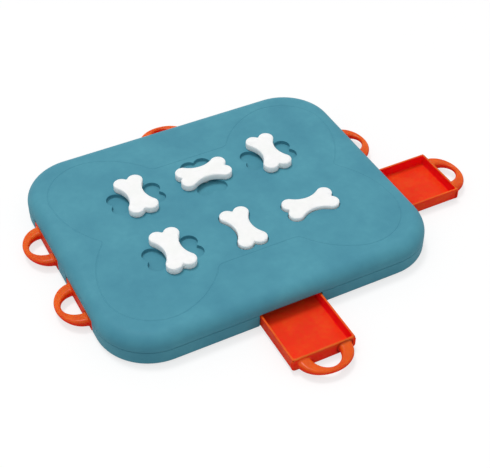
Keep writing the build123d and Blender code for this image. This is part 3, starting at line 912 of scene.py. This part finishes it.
def screwShape(g, given):
    # A crowned head with a cross slot, facing down, and a shank with a thread that rises from its seat at 0.
    height, crown = given["headHeight"], given["crown"]
    rim = height - crown
    disc = {"Vertices": given["headSides"], "Radius": given["headRadius"], "Depth": rim}
    head = g.node("GeometryNodeMeshCylinder", {}, disc).outputs
    body, outer = Wire(g, head["Mesh"]), Wire(g, head["Bottom"])
    for rise, shrink in crownSteps:
        pull = {"Mesh": body, "Selection": outer, "Offset Scale": crown * rise}
        step = g.node("GeometryNodeExtrudeMesh", {"mode": "FACES"}, pull).outputs
        outer = Wire(g, step["Top"])
        narrow = {"Geometry": Wire(g, step["Mesh"]), "Selection": outer, "Scale": shrink}
        body = g.wire("GeometryNodeScaleElements", {"domain": "FACE"}, narrow)
    body = moved(g, body, rim * -0.5)
    length, sink = given["slotLength"], given["slotDepth"]
    bars = []
    for size in ((length, given["slotWidth"]), (given["slotWidth"], length)):
        bar = g.wire("GeometryNodeMeshCube", {}, {"Size": vector(g, size[0], size[1], sink * 2)})
        bars.append(moved(g, bar, 0 - height))
    cut = {"operation": "DIFFERENCE", "solver": "MANIFOLD"}
    body = g.wire("GeometryNodeMeshBoolean", cut, {"Mesh 1": body, "Mesh 2": bars})
    rod = {"Vertices": given["shankSides"], "Radius": given["shankRadius"], "Depth": given["shankLength"]}
    shank = moved(g, g.wire("GeometryNodeMeshCylinder", {}, rod), given["shankLength"] * 0.5)
    spiral = {"Resolution": given["threadSteps"], "Rotations": given["threadTurns"],
              "Start Radius": given["shankRadius"], "End Radius": given["shankRadius"],
              "Height": given["threadLength"]}
    ridge = g.wire("GeometryNodeCurvePrimitiveCircle", {}, {"Resolution": 3, "Radius": given["threadRadius"]})
    path = {"Curve": g.wire("GeometryNodeCurveSpiral", {}, spiral), "Profile Curve": ridge, "Fill Caps": True}
    start = given["shankLength"] - given["threadLength"] - given["tipLength"]
    thread = moved(g, g.wire("GeometryNodeCurveToMesh", {}, path), start)
    between = {2: 0.0, 3: math.pi, "Seed": given["seed"]}
    turn = g.wire("FunctionNodeRandomValue", {"data_type": "FLOAT"}, between, 1)
    return g.wire("GeometryNodeJoinGeometry", {}, {0: [body, shank, thread]}), vector(g, z=turn)


def padShape(g, given):
    # A disc whose lower face has rings of ribs and a rounded edge.
    disc = {"Vertices": given["sides"], "Side Segments": 1, "Fill Segments": given["rings"],
            "Radius": given["radius"], "Depth": given["thickness"]}
    blank = g.wire("GeometryNodeMeshCylinder", {"fill_type": "TRIANGLE_FAN"}, disc)
    place = g.wire("GeometryNodeInputPosition", {}, {})
    x, y, z = (Wire(g, socket) for socket in g.node("ShaderNodeSeparateXYZ", {}, {0: place}).outputs)
    out = (x * x + y * y) ** 0.5
    ribs = (1 - (out * (2 * math.pi) / given["ribPitch"]).cosine()) * 0.5 * given["ribDepth"]
    past = (out - given["radius"] + given["edge"]).atLeast(0.0) / given["edge"]
    lift = (1 - (1 - past * past).atLeast(0.0) ** 0.5) * given["edge"]
    below = 1 - z.above(0.0)
    rise = vector(g, z=below * (ribs * (1 - past) + lift))
    return g.wire("GeometryNodeSetPosition", {}, {"Geometry": blank, "Offset": rise}), vector(g)


screwSpots = [(x, y, screwSeat) for x, y in screwPlaces]
shellScrews = repeated("shellScrews", screwSpots, screws, screwShape, "steel")
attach(shellScrews, "board")
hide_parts("shell_screws")
padSpots = [(x, y, 0.0) for x, y in padPlaces]
gripPads = repeated("gripPads", padSpots, pads, padShape, "rubber")
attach(gripPads, "board")
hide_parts("grip_pads")
print("screws and grip pads made")

# The lamps' places and sizes are in metres, the floor's in millimetres.
studio = {"floor": -1.0, "floorHalf": 6000, "floorShade": 0.62, "shadow": 0.3, "world": 0.57,
          "key": 1.25, "keyAngle": 16, "keyFrom": (-0.05, 0.5, 1.5),
          "soft": 3.0, "softFrom": (-0.4, -0.2, 1.6), "softSize": (1.6, 1.0)}
white = (1.0, 1.0, 1.0)


def makeFloor():
    # The camera sees white with the shadows kept; other rays see a plain pale floor.
    f = Finish("paleFloor")
    shade, half = studio["floorShade"], studio["floorHalf"]
    pale = f.wire("ShaderNodeBsdfDiffuse", {}, {"Color": (shade, shade, shade)})
    paper = f.wire("ShaderNodeBsdfDiffuse", {}, {"Color": white})
    plain = f.wire("ShaderNodeEmission", {}, {"Color": white, "Strength": 1.0})
    seen = f.wire("ShaderNodeMixShader", {}, {0: 1 - studio["shadow"], 1: paper, 2: plain})
    mixed = f.wire("ShaderNodeMixShader", {}, {0: f.seenRays(), 1: pale, 2: seen})
    f.node("ShaderNodeOutputMaterial", {}, {"Surface": mixed})
    s = Surface()
    s.cap(s.loop([(-half, -half), (half, -half), (half, half), (-half, half)], studio["floor"]))
    floor = addObject("floor", s.mesh("floor"))
    floor.data.materials.append(f.material)


def addLamp(name, kind, energy, place):
    # A lamp that looks at the middle of the scene.
    lamp = bpy.data.lights.new(name, kind)
    lamp.energy = energy
    made = addObject(name, lamp)
    made.location = place
    made.rotation_euler = (-Vector(place)).to_track_quat("-Z", "Y").to_euler()
    return lamp


def makeLamps():
    key = addLamp("keyLamp", "SUN", studio["key"], studio["keyFrom"])
    key.angle = math.radians(studio["keyAngle"])
    soft = addLamp("softLamp", "AREA", studio["soft"], studio["softFrom"])
    soft.shape = "RECTANGLE"
    soft.size, soft.size_y = studio["softSize"]


def makeWorld():
    # A dim even sky lights the object; the camera, metal and gloss see it white.
    world = bpy.data.worlds.new("studioWorld")
    bpy.context.scene.world = world
    world.use_nodes = True
    sky = NodeMaker(world.node_tree)
    light = sky.wire("ShaderNodeBackground", {}, {"Color": white, "Strength": studio["world"]})
    seen = sky.wire("ShaderNodeBackground", {}, {"Color": white, "Strength": 1.0})
    mixed = sky.wire("ShaderNodeMixShader", {}, {0: sky.seenRays(), 1: light, 2: seen})
    sky.node("ShaderNodeOutputWorld", {}, {"Surface": mixed})


eye = {"place": (-385.0, -795.6, 806.9), "yaw": 27.354, "pitch": 42.899, "roll": 0.057, "focal": 1096.83,
       "width": 490, "sensor": 36, "nearest": 0.01, "furthest": 20}


def makeCamera():
    # Yaw is to the right of +Y and pitch is down, in degrees; focal length and width are in pixels.
    yaw, pitch, roll = (math.radians(eye[key]) for key in ("yaw", "pitch", "roll"))
    ahead = Vector((math.sin(yaw) * math.cos(pitch), math.cos(yaw) * math.cos(pitch), -math.sin(pitch)))
    right = Vector((math.cos(yaw), -math.sin(yaw), 0))
    up = right.cross(ahead)
    turned = Matrix((right, up, -ahead)).transposed() @ Matrix.Rotation(roll, 3, "Z")
    lens = bpy.data.cameras.new("camera")
    lens.sensor_width = eye["sensor"]
    lens.lens = eye["focal"] * eye["sensor"] / eye["width"]
    lens.clip_start, lens.clip_end = eye["nearest"], eye["furthest"]
    made = addObject("camera", lens)
    made.matrix_world = Matrix.Translation(Vector(eye["place"]) * mm) @ turned.to_4x4()
    bpy.context.scene.camera = made


makeFloor()
makeLamps()
makeWorld()
makeCamera()
bpy.context.scene.view_settings.view_transform = "Standard"
print("studio made")
